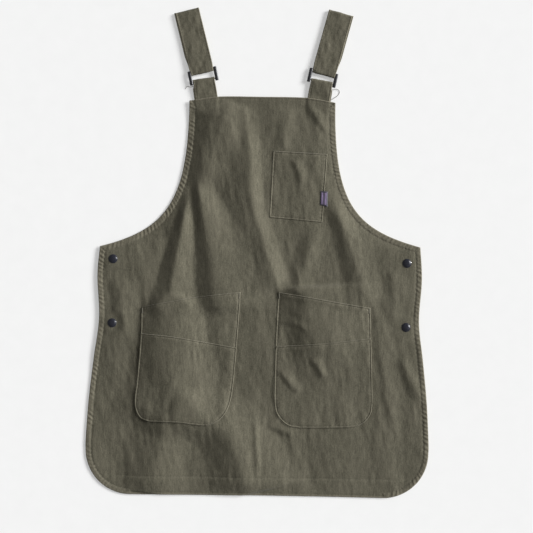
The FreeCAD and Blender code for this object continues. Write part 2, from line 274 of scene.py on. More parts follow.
FOLDS = [
    fold([(-108, 132), (-98, 78), (-85, 24), (-76, -22), (-69, -68), (-64, -108)], 7.6, 46, 92,
         widen=(0.18, 1.05), fade=(0.25, 0.1)),
    fold([(-121, 98), (-124, 74), (-132, 24), (-141, -30), (-147, -77), (-149, -110)], 6.2, 34, 52,
         widen=(0.2, 1.05), fade=(0.25, 0.1)),
    fold([(-143, -66), (-142, -150), (-143, -215), (-152, -262), (-166, -310)], 9.0, 88, 84,
         widen=(0.55, 1.1), fade=(0.1, 0.2)),
    fold([(-150, -262), (-157, -303), (-166, -350), (-172, -402)], 5.4, 52, 55, fade=(0.25, 0.02)),
    fold([(-150, -254), (-103, -272), (-56, -294), (-30, -346), (-15, -402)], 8.0, 74, 90,
         widen=(0.4, 1.1), fade=(0.14, 0.02)),
    fold([(-31, 252), (-24, 200), (-19, 150), (-16, 90), (-5, 40), (8, 4), (20, -32), (34, -68)],
         5.4, 62, 24, widen=(0.8, 1.05), fade=(0.3, 0.08)),
    fold([(-50, 252), (-62, 222), (-84, 152), (-96, 96)], 3.8, 50, 40, fade=(0.06, 0.3)),
    fold([(118, 96), (127, 66), (152, -2), (172, -66), (180, -98)], 3.4, 30, 30,
         widen=(0.6, 1.2), fade=(0.2, 0.16)),
    fold([(189, -80), (200, -150), (211, -220), (224, -310)], 1.2, 10, 30, fade=(0.15, 0.3)),
    fold([(78, -52), (82, -92), (95, -140), (108, -235)], 7.8, 54, 120,
         widen=(1.0, 0.75), fade=(0.04, 0.66)),
    fold([(106, 58), (87, 19), (73, -20), (60, -72)], 2.6, 24, 24, fade=(0.3, 0.08)),
    fold([(72, 252), (89, 224), (112, 196)], 1.8, 9, 14),
    fold([(50, 250), (40, 205), (38, 160)], 1.3, 18, 15),
    fold([(84, -172), (98, -188), (108, -206)], 1.5, 7, 12),
    fold([(34, -192), (51, -214), (72, -232)], 1.5, 8, 14),
    fold([(30, -112), (62, -118), (84, -128)], 1.2, 8, 12),
    fold([(-4, -272), (0, -372)], 1.1, 6, 9),
    fold([(14, -282), (62, -302)], 1.6, 8, 17),
    fold([(232, -168), (272, -246)], 1.7, 15, 15),
    fold([(52, 158), (70, 112)], 1.6, 9, 13),
    fold([(-232, -40), (-224, -90), (-232, -150)], 1.7, 24, 26),
    fold([(214, -20), (222, -70), (214, -120)], 1.4, 20, 24)]
FOLD_DEPTH = 1.1
FOLD_HIGH = 12
FOLD_CEILING = 3.0
CRUMPLE_DEPTH = 1.15
EDGE_DROOP = 3.9
SNAP_X = 242.0
SNAP_DROPS = (23.5, 129.0)
SNAP_PLACES = [(side * SNAP_X, WAIST_Y - drop) for side in (-1, 1) for drop in SNAP_DROPS]
SNAP_FLAT = 7
TAB_X = 92.5
TAB_LIFT = 0.9


def ease(t):
    t = np.clip(t, 0, 1)
    return t * t * (3 - 2 * t)


def waves(x, y, size_x, size_y, seed):
    """Smooth random waves between -1 and 1, of the given sizes."""
    grid = np.random.default_rng(seed).uniform(-1, 1, (128, 128))
    u, v = x / size_x + 40.3, y / size_y + 40.7
    i, j = np.floor(u).astype(int), np.floor(v).astype(int)
    fu, fv = ease(u - i), ease(v - j)
    i, j = i % 127, j % 127
    low = grid[i, j] * (1 - fu) + grid[i + 1, j] * fu
    high = grid[i, j + 1] * (1 - fu) + grid[i + 1, j + 1] * fu
    return low * (1 - fv) + high * fv


def crest(x, y, path, height, shaded, lit, widen, fade):
    """Height of one fold: a crest line with a shaded side and a lit side."""
    run = np.concatenate([[0], np.cumsum(np.hypot(*np.diff(path, axis=0).T))])
    best = np.full(x.shape, 1e9)
    side = np.zeros(x.shape)
    share = np.zeros(x.shape)
    for (ax, ay), (bx, by), start in zip(path, path[1:], run):
        dx, dy = bx - ax, by - ay
        length = math.hypot(dx, dy)
        t = np.clip(((x - ax) * dx + (y - ay) * dy) / length ** 2, 0, 1)
        away = np.hypot(x - ax - t * dx, y - ay - t * dy)
        nearer = away < best
        best = np.where(nearer, away, best)
        side = np.where(nearer, dx * (y - ay) - dy * (x - ax), side)
        share = np.where(nearer, (start + t * length) / run[-1], share)
    width = np.where(side > 0, lit, shaded) * (widen[0] + (widen[1] - widen[0]) * share)
    shown = ease(share / fade[0]) * ease((1 - share) / fade[1])
    away = np.clip(best / width, 0, 1)
    return height * shown * (1 - 0.5 * away - 0.5 * ease(away))


def crumple(x, y):
    """The soft creasing of washed canvas, mostly running down the cloth."""
    bent = x + 0.12 * y + 6 * waves(x, y, 60, 90, 11)
    return (0.55 * waves(bent, y, 30, 95, 1) + 0.28 * waves(bent, y, 12, 46, 2)
            + 0.24 * waves(bent, y, 6.0, 22, 3) + 0.16 * waves(bent, y, 4.0, 7, 4))


def cloth_height(x, y):
    """The panel's upper face, without its hems."""
    share = ease((y - RAMP_FOOT) / (RAMP_HEAD - RAMP_FOOT))
    loose = np.zeros_like(x)
    for parts in FOLDS:
        loose = loose + FOLD_DEPTH * crest(x, y, *parts)
    loose = loose + CRUMPLE_DEPTH * crumple(x, y)
    loose = loose * (0.25 + 0.75 * ease((BIB_Y - y) / 26))
    inward = panel_outline.measure(x, y)[0]
    droop = EDGE_DROOP * share * (1 - ease(inward / 36)) * ease((BIB_Y + 8 - y) / 60)
    droop = droop * (0.3 + 0.7 * ease((y + 5) / 40))
    loose = loose * (0.45 + 0.55 * ease(inward / 22)) - droop
    for snap_x, snap_y in SNAP_PLACES:
        away = np.hypot(x - snap_x, y - snap_y)
        loose = loose * ease((away - SNAP_FLAT) / 16)
    for side in (-1, 1):
        from_tab = np.hypot((np.abs(x - side * TAB_X) / 19) ** 4, (np.abs(y - BIB_Y + 4) / 29) ** 4)
        loose = loose + TAB_LIFT * (1 - ease(from_tab - 0.5))
    z = TOP_ON_TABLE + (TOP_LIFTED - TOP_ON_TABLE) * share + loose
    over = FOLD_CEILING * np.tanh((z - FOLD_HIGH) / FOLD_CEILING)
    return np.where(z < FOLD_HIGH, z, FOLD_HIGH + over)


# %% [markdown]
# ## Sheets of cloth
# Each sheet is a net of triangles inside its outline, finer along the hems where the cloth
# puckers, then given a thickness. A triangulated outline keeps every hem's shape, which a
# square grid would turn into steps.

# %% Sheet builder
def use(piece):
    bpy.ops.object.select_all(action="DESELECT")
    bpy.context.view_layer.objects.active = piece
    piece.select_set(True)


def new_piece(name, points, faces):
    mesh = bpy.data.meshes.new(name)
    mesh.from_pydata([tuple(p) for p in np.asarray(points, float) * MM], [], faces)
    piece = bpy.data.objects.new(name, mesh)
    bpy.context.collection.objects.link(piece)
    use(piece)
    bpy.ops.object.shade_smooth()
    return piece


def thicken(piece, thickness):
    """Give a sheet its thickness below the face that was modelled."""
    use(piece)
    wall = piece.modifiers.new("cloth", "SOLIDIFY")
    wall.thickness = thickness * MM
    wall.offset = -1
    wall.use_even_offset = False
    bpy.ops.object.modifier_apply(modifier=wall.name)


def net(outline, step, rings, pitch, extra=()):
    """Points and triangles that fill an outline, with rows of points beside its edge."""
    border = outline.border(step)
    count = len(border)
    low, high = border.min(0), border.max(0)
    gx, gy = np.meshgrid(np.arange(low[0], high[0], pitch),
                         np.arange(low[1], high[1], pitch * 0.92))
    gx = gx + (np.arange(gx.shape[0]) % 2)[:, None] * pitch / 2
    inner = np.stack([gx.ravel(), gy.ravel()], 1)
    inside = outline.measure(*inner.T)[0]
    clear = (rings[-1] if rings else 0) + pitch * 0.6
    keep = [inner[inside > clear]]
    for ring in rings:
        tangent = np.roll(border, -1, 0) - np.roll(border, 1, 0)
        tangent /= np.hypot(*tangent.T)[:, None]
        moved = border + ring * np.stack([tangent[:, 1], -tangent[:, 0]], 1)
        distance = outline.measure(*moved.T)[0]
        keep.append(moved[distance > ring - 0.25])
    for row in extra:
        away = np.min(np.abs(keep[0][:, 1:2] - row[:1, 1:2]), 1)
        span = (keep[0][:, 0] > row[:, 0].min()) & (keep[0][:, 0] < row[:, 0].max())
        keep[0] = keep[0][~((away < pitch * 0.45) & span)]
        keep.append(row)
    points = np.vstack([border] + keep)
    edges = [(i, (i + 1) % count) for i in range(count)]
    result = delaunay_2d_cdt([Vector(p) for p in points], edges, [], 1, 1e-5)
    flat = np.array([(p.x, p.y) for p in result[0]])
    faces = [tuple(face) for face in result[2]]
    a, b, c = (flat[[f[k] for f in faces]] for k in range(3))
    turn = (b - a)[:, 0] * (c - a)[:, 1] - (b - a)[:, 1] * (c - a)[:, 0]
    faces = [f if t > 0 else f[::-1] for f, t in zip(faces, turn) if abs(t) > 1e-6]
    return flat, faces


def mark(piece, name, values):
    attribute = piece.data.attributes.new(name, "FLOAT", "POINT")
    attribute.data.foreach_set("value", np.asarray(values, np.float32))


def make_sheet(name, outline, height, thickness, step=1.9, rings=(1.2, 2.6, 4.2), pitch=2.8,
               extra=()):
    """A sheet whose upper face and wear come from height(x, y, inward, along, part)."""
    flat, faces = net(outline, step, rings, pitch, extra)
    x, y = flat.T
    inward, along, part = outline.measure(x, y)
    inward = np.maximum(inward, 0)
    z, wear = height(x, y, inward, along, part)
    piece = new_piece(name, np.stack([x, y, z], 1), faces)
    mark(piece, "wear", wear)
    thicken(piece, thickness)
    print(name, len(piece.data.polygons), "faces")
    return piece


# %% [markdown]
# ## Hems
# A turned hem is thicker than the cloth, drawn down along its stitch line, and puckered between
# the stitches and the edge, because the thread shrank more than the canvas in the wash. The
# raised places rub pale, so the same function gives the wear.

# %% Hem shape
def bump(value, centre, width):
    return np.exp(-((value - centre) / width) ** 2)


def puckers(inward, along, width, period, depth, lean, seed):
    """Short slanting ridges between an edge and its stitch line."""
    inside = ease(inward / 1.2) * ease((width + 1.5 - inward) / 2.5)
    phase = (along + lean * inward) * 2 * math.pi / period
    phase = phase + 3.4 * waves(along, inward, 23, 14, seed)
    strength = 0.55 + 0.6 * waves(along, along * 0, 13, 1, seed + 1)
    return depth * np.sin(phase) * inside * strength


HEM_WIDTH = {"top": 3.0, "armhole": 9.5, "side": 8.5, "corner": 8.5, "foot": 3.0}
HEM_PUCKER = {"top": 0.32, "armhole": 0.55, "side": 0.55, "corner": 0.5, "foot": 0.32}
HEM_PERIOD = {"top": 4.4, "armhole": 6.8, "side": 7.4, "corner": 7.4, "foot": 5.6}
FOOT_HEM = 30.0
PANEL_CLOTH = 0.9
STITCH_DIP = 0.5


def panel_surface(x, y, inward, along, part):
    z = cloth_height(x, y)
    width, depth, period = (np.array([table[PANEL_PARTS[p]] for p in part])
                            for table in (HEM_WIDTH, HEM_PUCKER, HEM_PERIOD))
    hem = 0.45 * ease((width + 1.2 - inward) / 2.0) * ease(inward / 1.4 + 0.3)
    pucker = puckers(inward, along, width, period, depth, 0.4, 21)
    z = z + hem + pucker - STITCH_DIP * bump(inward, width, 1.2)
    foot_line = bump(y, HEM_Y + FOOT_HEM, 1.2) * ease((232 - np.abs(x)) / 8)
    z = z + 0.3 * ease((HEM_Y + FOOT_HEM + 1 - y) / 2) - STITCH_DIP * foot_line
    wear = 0.75 * bump(inward, 0.4, 1.4) + 0.9 * np.clip(pucker / 0.5, 0, 1)
    wear = wear + 0.25 * ease((width - inward) / 2.0)
    over_band = ease((y - RAMP_FOOT) / 85) * ease((band_high.y + 12 - y) / 10)
    floor = 1.3 + 2.4 * over_band * ease((band_high.x + 6 - np.abs(x)) / 6)
    return np.maximum(z, floor), np.clip(wear, 0, 1)


hem_rows = [np.stack([np.arange(-230, 230, 2.4), np.full(192, HEM_Y + FOOT_HEM + shift)], 1)
            for shift in (-1.4, 0.0, 1.4)]
panel = make_sheet("panel_cloth", panel_outline, panel_surface, PANEL_CLOTH,
                   rings=(0.8, 1.9, 3.0, 4.2, 5.6, 7.2, 8.5, 9.6, 10.8), pitch=3.1, extra=hem_rows)


# %% [markdown]
# ## Riding and standing in
# Each piece of cloth, once made, stands for its imported solids, which are hidden, and is listed
# for the canvas finish. Most pieces also ride a body.

# %% Hide the imported solids and list the cloth
CANVAS_PIECES = []


def cloth_area(outline):
    x, y = outline.points.T
    return abs(np.sum(x * np.roll(y, -1) - y * np.roll(x, -1))) / 2 * MM * MM


def declare(piece, nodes, area=None):
    if nodes:
        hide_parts(*nodes)
    CANVAS_PIECES.append(piece)


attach(panel, "front")
declare(panel, ["apron_panel"], area=cloth_area(panel_outline))
print("panel cloth %.3f square metres" % cloth_area(panel_outline))


# %% [markdown]
# ## Patch pockets
# The hip pockets are two layers each: a tall back layer whose mouth slants, and a lower front
# layer. The left pocket's inner side is more curved than the right one's, and both are sewn
# close to their edges. Each layer follows the panel's own height, so its folds carry through.

# %% Pocket outlines
LEFT_MOUTH = [(-194.2, -93.8), (-182.0, -90.3), (-109.7, -76.2), (-38, -66.8), (-30.8, -66.4)]
LEFT_INNER = [(-30.8, -66.4), (-36.3, -156.8), (-41.1, -220.0), (-47.5, -254.0), (-61.5, -275.5),
              (-84.0, -285.8), (-106.0, -284.8), (-130.1, -282.2), (-178.0, -281.6)]
LEFT_OUTER = [(-178.0, -281.6), (-193.0, -275.8), (-201.4, -260.0), (-202.4, -240.0),
              (-199.6, -215.0), (-194.6, -143.5), (-194.2, -93.8)]
RIGHT_MOUTH = [(30.9, -65.4), (70, -70.6), (120, -78.9), (183.0, -88.9)]
RIGHT_OUTER = [(183.0, -88.9), (184.8, -139.2), (187.4, -200.7), (188.4, -250.0), (184.0, -267.5),
               (172.0, -280.0), (154.0, -286.0), (105.4, -288.0), (70.0, -288.6)]
RIGHT_INNER = [(70.0, -288.6), (50.0, -284.6), (34.5, -271.0), (27.6, -250.6), (27.0, -200),
               (28.0, -140), (30.9, -65.4)]
LEFT_FRONT_TOP = [(-194.6, -136.3), (-143.3, -140.4), (-94.4, -148.2), (-36.3, -157.6)]
RIGHT_FRONT_TOP = [(29.0, -154.4), (105, -148.4), (184.6, -138.6)]
CHEST = [(18.8, 167.1), (108.2, 163.3), (101.6, 50.6), (14.6, 57.5)]


def below(curve, start, floor_y):
    """The part of a stretch that lies under a height, starting from a given corner."""
    curve = smooth(curve)
    kept = [tuple(p) for p in curve if p[1] < floor_y - 3]
    return kept if start is None else [start] + kept


left_back = Outline([smooth(LEFT_MOUTH), smooth(LEFT_INNER), smooth(LEFT_OUTER)])
right_back = Outline([smooth(RIGHT_MOUTH), smooth(RIGHT_OUTER), smooth(RIGHT_INNER)])
left_front = Outline([smooth(LEFT_FRONT_TOP),
                      below(LEFT_INNER, LEFT_FRONT_TOP[-1], LEFT_FRONT_TOP[-1][1]),
                      below(LEFT_OUTER, None, LEFT_FRONT_TOP[0][1]) + [LEFT_FRONT_TOP[0]]])
right_front = Outline([smooth(RIGHT_FRONT_TOP),
                       below(RIGHT_OUTER, RIGHT_FRONT_TOP[-1], RIGHT_FRONT_TOP[-1][1]),
                       below(RIGHT_INNER, None, RIGHT_FRONT_TOP[0][1]) + [RIGHT_FRONT_TOP[0]]])
chest = Outline([[CHEST[i], CHEST[(i + 1) % 4]] for i in range(4)])
print("chest pocket edge %.0f mm" % chest.along[-1])

# %% Pocket layers
POCKET_CLOTH = 0.8
LAYER_STEP = 1.35
SEAM_IN = 2.4


def pocket_surface(outline, layer, mouth_lift, seed):
    mouth_run = np.max(outline.along[outline.part == 0])

    def surface(x, y, inward, along, part):
        lift = LAYER_STEP * layer
        z = cloth_height(x, y) + lift
        edge = ease(inward / 1.1 + 0.35) - 0.5
        z = z + 0.55 * edge + 0.35 * bump(inward, 0.9, 1.0) - 0.5 * bump(inward, SEAM_IN, 0.9)
        pucker = puckers(inward, along, 6.0, 6.2, 0.14, 0.4, seed)
        own = 0.35 * waves(x, y, 19, 42, seed) + 0.16 * waves(x, y, 8, 15, seed + 3)
        z = z + pucker + own * ease((inward - 2) / 8)
        mouth = (part == 0) * mouth_lift * bump(inward, 0, 9.0)
        z = z + mouth * ease(along / 14) * ease((mouth_run - along) / 14)
        wear = 0.25 * bump(inward, 0.3, 1.0) + 0.6 * np.clip(pucker / 0.14, 0, 1) * (inward < 6)
        return z, np.clip(wear, 0, 1)
    return surface


POCKETS = [("pocket_back_left", left_back, 1, 1.4, "hip_pocket_back_left"),
           ("pocket_front_left", left_front, 2, 0.7, "hip_pocket_front_left"),
           ("pocket_back_right", right_back, 1, 1.6, "hip_pocket_back_right"),
           ("pocket_front_right", right_front, 2, 0.8, "hip_pocket_front_right"),
           ("pocket_chest", chest, 1, 0.6, "chest_pocket")]
for number, (name, outline, layer, mouth_lift, node) in enumerate(POCKETS):
    patch = make_sheet(name, outline, pocket_surface(outline, layer, mouth_lift, 40 + 7 * number),
                       POCKET_CLOTH, rings=(0.8, 1.7, 2.4, 3.2, 4.6), pitch=2.8)
    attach(patch, "front")
    declare(patch, [node], area=cloth_area(outline))


# %% [markdown]
# ## Facings and turned hems
# Behind the panel the raw edges are covered: a strip follows each armhole, a deeper one backs
# the bib's top edge where the tabs are sewn, and the skirt's edge is turned under itself. They
# show when the front is lifted off the back.

# %% Strips behind the panel
FACING_CLOTH = 0.6
SIDE_TURN = 10.8
BIB_FACING = 32.0
FOOT_TURN = 30.5


def under_strip(name, stretch, width, nodes=(), start=0.6, columns=5):
    """A strip behind the panel, from just inside an edge to the given width in."""
    line = walk(stretch, 3.0)
    tangent = np.gradient(line, axis=0)
    tangent /= np.hypot(*tangent.T)[:, None]
    inward = np.stack([tangent[:, 1], -tangent[:, 0]], 1)
    rows = []
    for share in np.linspace(0, 1, columns):
        spot = line + inward * (start + share * (width - start))
        z = cloth_height(*spot.T) - PANEL_CLOTH - 0.15 + 0.3 * (1 - share)
        rows.append(np.column_stack([spot, np.maximum(z, 0.75)]))
    points = np.concatenate(rows)
    n = len(line)
    faces = [(c * n + i, c * n + i + 1, (c + 1) * n + i + 1, (c + 1) * n + i)
             for c in range(columns - 1) for i in range(n - 1)]
    flipped = [face[::-1] for face in faces]
    piece = new_piece(name, points, flipped)
    mark(piece, "wear", np.zeros(len(points)))
    thicken(piece, FACING_CLOTH)
    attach(piece, "front")
    declare(piece, nodes)
    return piece


under_strip("facing_armhole_right", right_armhole, SIDE_TURN, ["armhole_facing_right"])
under_strip("facing_armhole_left", left_armhole, SIDE_TURN, ["armhole_facing_left"])
under_strip("facing_bib", bib_top[6:-6], BIB_FACING, ["bib_facing"], columns=9)
skirt_edge = np.vstack([skirt_side(WAIST_Y + WAIST_TILT), corner[1:]])
left_skirt_edge = mirror(np.vstack([skirt_side(WAIST_Y - WAIST_TILT), corner[1:]]))
under_strip("turned_hem_right", skirt_edge, SIDE_TURN)
under_strip("turned_hem_left", left_skirt_edge, SIDE_TURN)
under_strip("turned_hem_foot", foot, FOOT_TURN, columns=8)


# %% [markdown]
# ## Straps and tabs
# A strap is doubled cloth sewn along both edges. Each one is a ribbon that follows a path seen
# from the side: distance up the strap and height. A short rear run lies turned down behind,
# goes over at the top fold and becomes the front run, which passes over the slider's upper bar
# and wraps the middle bar. The tab wraps the lower bar and goes down behind the bib. Cloth that
# is hidden behind other cloth is kept smoother, so it never pokes through.

# %% Ribbon builder
SLIDER_X = 98.4
SLIDER_Y = BIB_Y + 33.0
SLIDER_LEAN = 12.4
slider_low, slider_high = (Vector(c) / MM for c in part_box("slider_right"))
SLIDER_Z = (slider_low.z + slider_high.z) / 2
STRAP_WIDTH = 40.0
TAB_WIDTH = 37.0
STRAP_CLOTH = 0.9
STRAP_PINCH = 0.07
TAB_PINCH = 0.035


def ribbon(name, path, width, centre, lean, side, seed, splay=0.0, step=1.8, across=25):
    """A strip whose outer face follows (distance, height) points, as wide as stated.

    The part that lies behind, below the slider's middle, drifts sideways by the splay.
    """
    line = walk(path, step)
    run = np.concatenate([[0], np.cumsum(np.hypot(*np.diff(line, axis=0).T))])
    tangent = np.gradient(line, axis=0)
    tangent /= np.hypot(*tangent.T)[:, None]
    u = np.linspace(-1, 1, across)
    u = np.sign(u) * (1 - (1 - np.abs(u)) ** 1.25) * width / 2
    run2, u2 = np.meshgrid(run, u, indexing="ij")
    edge = width / 2 - np.abs(u2)
    if splay > 0:
        pinch = STRAP_PINCH * bump(line[:, :1], 4, 9)
    else:
        pinch = TAB_PINCH * bump(line[:, :1], -9, 9)
    u2 = u2 * (1 - pinch)
    angle = math.radians(lean)
    v = line[:, :1] + 0 * u2
    x = centre[0] + u2 * math.cos(angle) + v * math.sin(angle)
    y = centre[1] - u2 * math.sin(angle) + v * math.cos(angle)
    pucker = 0.16 * np.sin(run2 * 2 * math.pi / 5.2 + np.sign(u2) + 2 * waves(run2, u2, 21, 60, seed))
    pucker = pucker * ease(edge / 0.8) * ease((5.5 - edge) / 2.5)
    swell = 0.75 * waves(x, y, 13, 22, seed + 1) + 0.42 * waves(x, y, 6, 9, seed + 2)
    swell = 0.85 * (swell + 0.2 * waves(x, y, 3.4, 5, seed + 3)) * ease(edge / 5)
    swell = swell * (0.2 + 0.8 * ease((line[:, 1:2] - SLIDER_Z + 2.3) / 3))
    rise = pucker + swell + 0.25 * bump(edge, 1.0, 1.1) - 0.32 * bump(edge, 2.6, 0.9)
    rise = rise - 0.45 * bump(edge, 0, 0.5)
    behind = (line[:, 1:2] < SLIDER_Z - 1.2) * ease((line[:, :1] - 20) / 20 if splay > 0
                                                    else (-line[:, :1] - 14) / 6)
    x = x + behind * abs(splay) * 55
    x = x + rise * tangent[:, 1:2] * math.sin(angle)
    y = y + rise * tangent[:, 1:2] * math.cos(angle)
    z = line[:, 1:2] - rise * tangent[:, :1]
    points = np.stack([side * x, y, z], 2).reshape(-1, 3)
    rows, columns = x.shape
    faces = []
    for i in range(rows - 1):
        for j in range(columns - 1):
            quad = (i * columns + j, (i + 1) * columns + j, (i + 1) * columns + j + 1,
                    i * columns + j + 1)
            faces.append(quad if side > 0 else quad[::-1])
    piece = new_piece(name, points, faces)
    layer = piece.data.uv_layers.new(name="grain")
    flat = np.stack([u2, run2], 2).reshape(-1, 2) * MM
    corners = np.empty(len(piece.data.loops), np.int32)
    piece.data.loops.foreach_get("vertex_index", corners)
    layer.data.foreach_set("uv", flat[corners].astype(np.float32).ravel())
    wear = 0.8 * bump(edge, 0.2, 1.0) + 0.8 * np.clip(pucker / 0.16, 0, 1)
    mark(piece, "wear", np.clip(wear, 0, 1).ravel())
    thicken(piece, STRAP_CLOTH)
    front = line[:, 1] > SLIDER_Z - 0.6
    seams = [np.stack([side * x, y, z], 2)[front, j] for j in (3, columns - 4)]
    return piece, run[-1], seams


def turn(v, z, radius, start, stop, count=9):
    """Points round a bar or a fold, as seen from the side."""
    angle = np.radians(np.linspace(start, stop, count))
    return [(v + radius * math.cos(a), z + radius * math.sin(a)) for a in angle]


# %% Straps, tabs and their folds
FOLD_X = 126.8
FOLD_Y = panel_high.y + 146.0 - math.sin(math.radians(14.6)) * STRAP_WIDTH / 2
FRONT_Z = 6.6
STRAP_RUN = math.hypot(FOLD_X - SLIDER_X, FOLD_Y - SLIDER_Y)
STRAP_LEAN = math.degrees(math.atan2(FOLD_X - SLIDER_X, FOLD_Y - SLIDER_Y))
REAR_RUN = 70.0
REAR_Z = 1.9
MIDDLE_BAR = 6.1
LOWER_BAR = -7.5
SIDES = (("left", -1), ("right", 1))


def on_strap(distance, side, lean, height):
    """A point on a strap's centre line, in metres."""
    angle = math.radians(lean)
    return (side * (SLIDER_X + distance * math.sin(angle)) * MM,
            (SLIDER_Y + distance * math.cos(angle)) * MM, height * MM)


strap_seams = []
for name, side in SIDES:
    fold = (FRONT_Z - REAR_Z) / 2
    path = [(STRAP_RUN - REAR_RUN, REAR_Z), (STRAP_RUN - 12, REAR_Z)]
    path += turn(STRAP_RUN - fold, REAR_Z + fold, fold, -90, 90)
    path += [(STRAP_RUN - 14, FRONT_Z), (70, 6.5), (32, 7.2), (13, SLIDER_Z + 2.3)]
    path += turn(MIDDLE_BAR, SLIDER_Z, 2.35, 90, 270)
    path += [(14, SLIDER_Z - 2.3), (30, 3.7), (72, 3.9)]
    strap, length, seams = ribbon("strap_cloth_" + name, path, STRAP_WIDTH, (SLIDER_X, SLIDER_Y),
                                  STRAP_LEAN, side, 60 + side, splay=0.035)
    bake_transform(strap)
    declare(strap, [node + name for node in ("strap_front_", "strap_tail_", "strap_loop_",
                                             "strap_rear_")])
    strap_seams.append((seams, name, side))

    path = [(-62, 3.2), (-30, 3.2), (-12, 3.3)]
    path += turn(-6.3, 5.6, 2.4, -80, 90)
    path += [(-12, 7.7), (-22, 6.6), (-31, 5.5), (-62, 5.1)]
    tab, length, seams = ribbon("tab_cloth_" + name, path, TAB_WIDTH, (SLIDER_X, SLIDER_Y), 9.6,
                                side, 80 + side, splay=-0.03)
    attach(tab, "front")
    declare(tab, ["tab_" + name])
    strap_seams.append((seams, name, 0))
print("strap lean %.1f degrees, run %.1f mm" % (STRAP_LEAN, STRAP_RUN))


# %% [markdown]
# ## Back band
# The band lies under the skirt's upper half and holds the studs. Only its hemmed edges and its
# weave matter, and those show when the front is lifted.

# %% Back band
BAND_HEM = 8.0


def band_outline(radius=12.0):
    """The band's edge, a rectangle with round corners."""
    x, low, high = band_high.x, band_low.y, band_high.y
    in_x, in_low, in_high = x - radius, low + radius, high - radius
    return Outline([[(-in_x, high), (in_x, high)], arc((in_x, in_high), radius, 90, 0),
                    [(x, in_high), (x, in_low)], arc((in_x, in_low), radius, 0, -90),
                    [(in_x, low), (-in_x, low)], arc((-in_x, in_low), radius, 270, 180),
                    [(-x, in_low), (-x, in_high)], arc((-in_x, in_high), radius, 180, 90)])


def band_surface(x, y, inward, along, part):
    pucker = puckers(inward, along, BAND_HEM, 7.0, 0.12, 0.4, 95)
    z = band_high.z + 0.12 * waves(x, y, 30, 30, 96) + pucker - 0.25 * bump(inward, BAND_HEM, 1.0)
    for snap_x, snap_y in SNAP_PLACES:
        near = bump(np.hypot(x - snap_x, y - snap_y), 0, 12)
        z = z * (1 - near) + (band_high.z - 0.05) * near
    return z, np.clip(0.7 * bump(inward, 0.4, 1.2) + 4 * pucker, 0, 1)


back_band_edge = band_outline()
band = make_sheet("band_cloth", back_band_edge, band_surface, 0.8, step=2.6,
                  rings=(1.2, 3.0, 5.5, 8.0, 10.0), pitch=4.5)
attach(band, "back")
declare(band, ["back_band"],
        area=cloth_area(back_band_edge))


# %% [markdown]
# ## Sliders
# A slider is a small enamelled frame with three cross bars. Its bars are rounded all over, so
# each one starts as a box of its own size, and bevels in edit mode take its edges away. The bars
# are then made one solid with a boolean union.

# %% Slider modelling
SLIDER_WIDE = 48.4
SLIDER_TALL = 23.0
SIDE_BAR = 5.6


def bevelled_bar(x, y, wide, tall, thick, round_by):
    """A bar at its place in the slider's own frame, with all its edges rounded."""
    bpy.ops.object.select_all(action="DESELECT")
    bpy.ops.mesh.primitive_cube_add(size=1, location=(x * MM, y * MM, 0),
                                    scale=(wide * MM, tall * MM, thick * MM))
    bar = bpy.context.object
    bpy.ops.object.transform_apply(location=True, rotation=False, scale=True)
    bpy.ops.object.mode_set(mode="EDIT")
    bpy.ops.mesh.select_all(action="SELECT")
    bpy.ops.mesh.bevel(offset=round_by * MM, segments=4, profile=0.5)
    bpy.ops.object.mode_set(mode="OBJECT")
    return bar


def unite(first, other):
    use(first)
    join = first.modifiers.new("join", "BOOLEAN")
    join.operation = "UNION"
    join.solver = "EXACT"
    join.object = other
    bpy.ops.object.modifier_apply(modifier=join.name)
    bpy.data.objects.remove(other)


slider_master = bevelled_bar(-(SLIDER_WIDE - SIDE_BAR) / 2, 0, SIDE_BAR, SLIDER_TALL + 0.6, 4.0, 1.6)
for bar in [((SLIDER_WIDE - SIDE_BAR) / 2, 0, SIDE_BAR, SLIDER_TALL + 0.6, 4.0, 1.6),
            (0, 10.4, SLIDER_WIDE - 3, 2.2, 2.4, 0.9),
            (0, MIDDLE_BAR, SLIDER_WIDE - 3, 2.6, 2.4, 1.0),
            (0, LOWER_BAR, SLIDER_WIDE - 3, 2.4, 1.8, 0.8)]:
    unite(slider_master, bevelled_bar(*bar))


def placed_copy(master, name, matrix):
    """A copy with its own mesh, its place in the mesh."""
    copy = bpy.data.objects.new(name, master.data.copy())
    copy.data.transform(matrix)
    bpy.context.collection.objects.link(copy)
    use(copy)
    return copy


sliders = []
for name, side in SIDES:
    place = (Matrix.Translation((side * SLIDER_X * MM, SLIDER_Y * MM, SLIDER_Z * MM))
             @ Matrix.Rotation(math.radians(-side * SLIDER_LEAN), 4, "Z"))
    slider = placed_copy(slider_master, "slider_frame_" + name, place)
    bpy.ops.object.shade_smooth_by_angle(angle=math.radians(40))
    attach(slider, "slider_" + name)
    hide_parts("slider_" + name)
    sliders.append(slider)
bpy.data.objects.remove(slider_master)
print("slider", len(sliders[0].data.polygons), "faces")


# %% [markdown]
# ## Snap caps
# A snap cap is pressed from sheet metal: a rolled rim, a shallow groove and a dome. That is a
# turned shape, so a ring of points is extruded and resized step by step up its profile.

# %% Snap caps
CAP_PROFILE = [(6.7, -0.05), (7.3, 0.1), (7.5, 0.5), (7.4, 0.9), (7.05, 1.15), (6.6, 1.15),
               (6.25, 1.3), (5.6, 1.7), (4.4, 2.1), (2.9, 2.38), (1.4, 2.5), (0.4, 2.53)]


